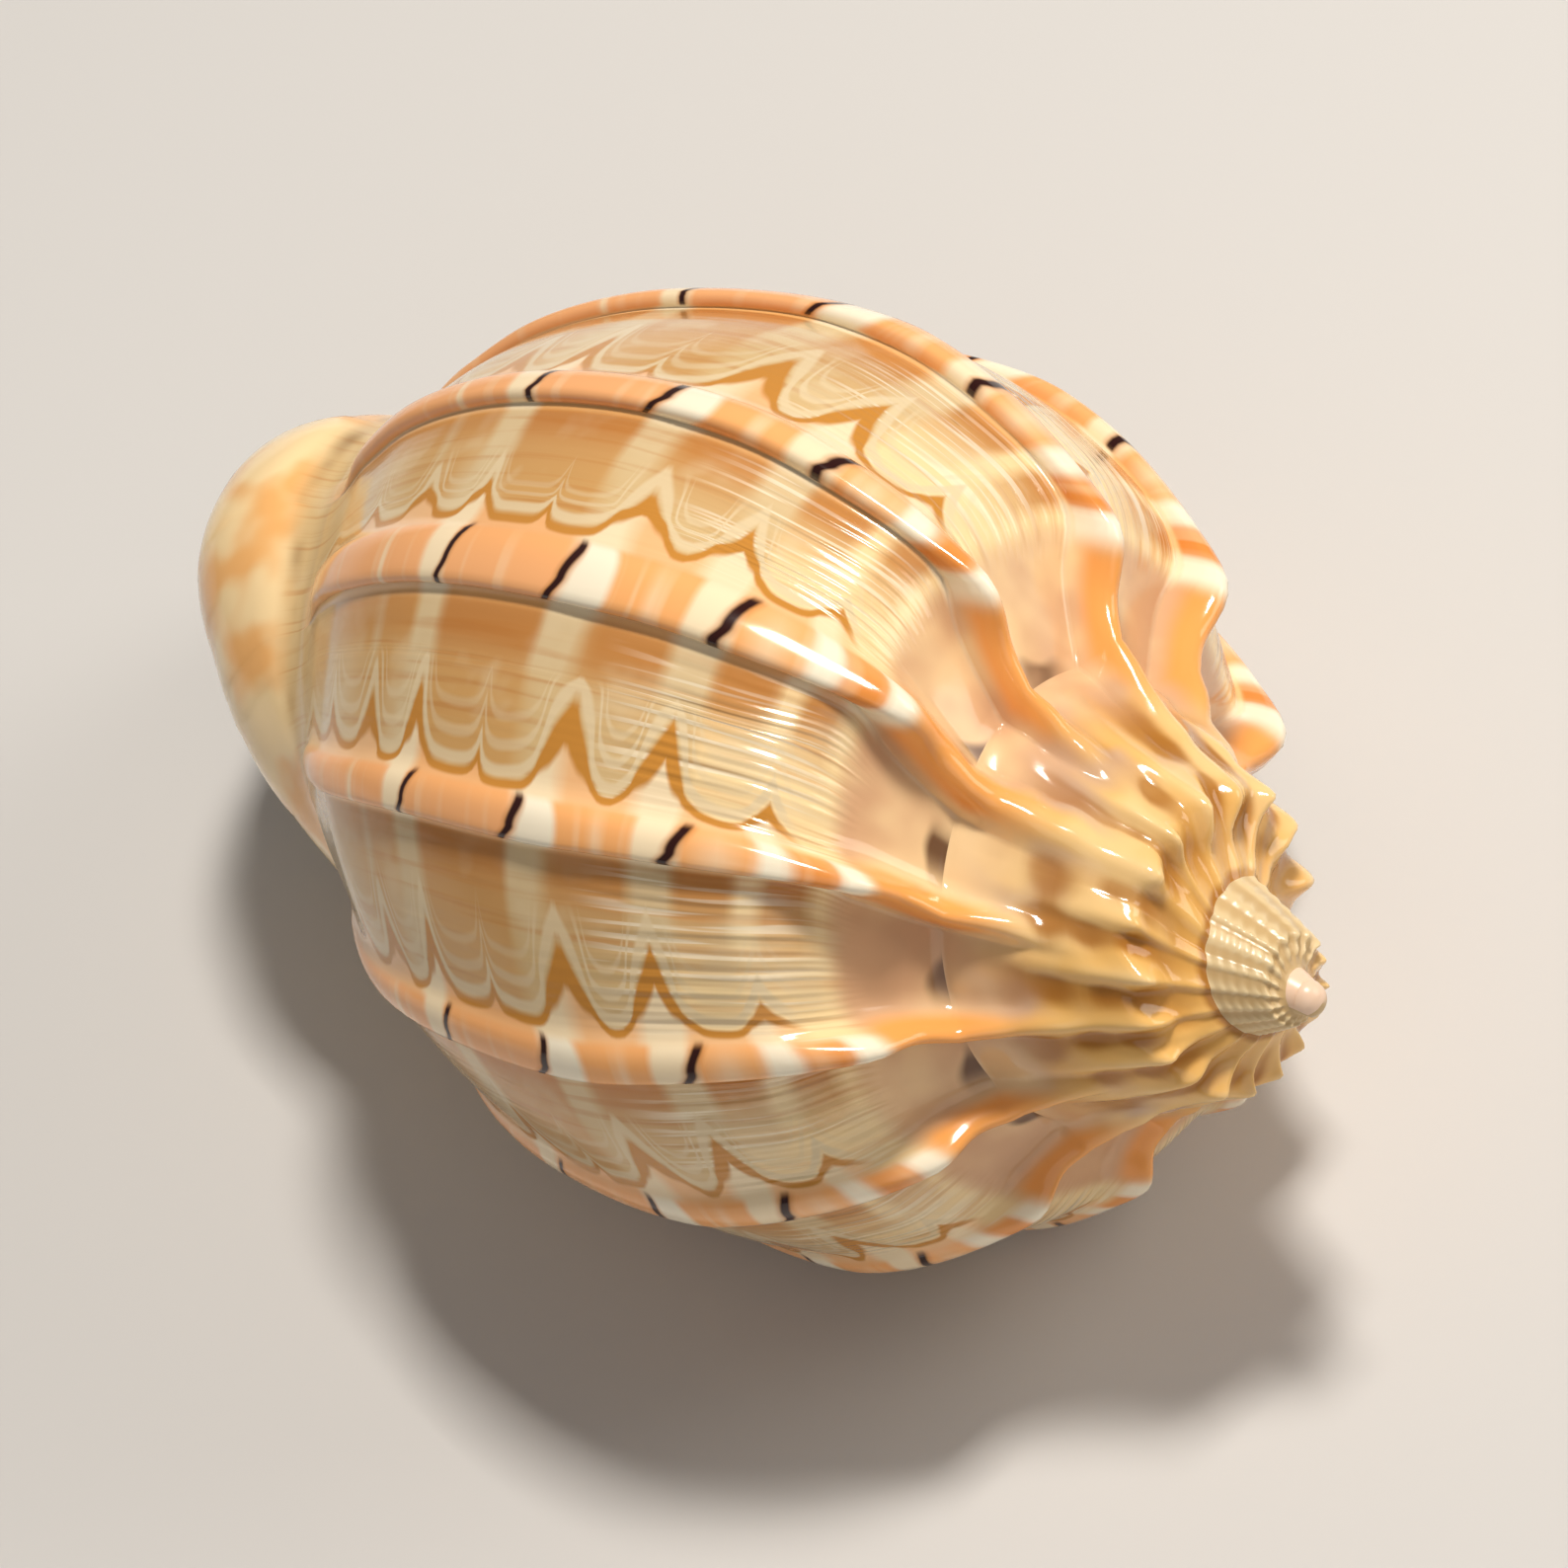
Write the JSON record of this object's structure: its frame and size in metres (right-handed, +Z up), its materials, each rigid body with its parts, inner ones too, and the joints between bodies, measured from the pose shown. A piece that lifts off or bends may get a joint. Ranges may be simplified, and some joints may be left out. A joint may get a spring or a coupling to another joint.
{
  "type": "harp shell",
  "caption": "Oval spiral sea shell, lying mouth down, with strong curved ribs along its length, a short pointed spire, a twisted ridge round its base and a long wide mouth.",
  "frame": {"origin": "centre of the bounding box at the level the shell rests on", "axes": "+Z up as it lies on its mouth, +X along its length towards the point of the spire, +Y towards the side the outer lip is on"},
  "size_m": [0.058, 0.0354, 0.0277],
  "materials": {
    "shell": "gloss"
  },
  "bodies": {
    "root": {"harp_shell": "shell"}
  },
  "joints": []
}
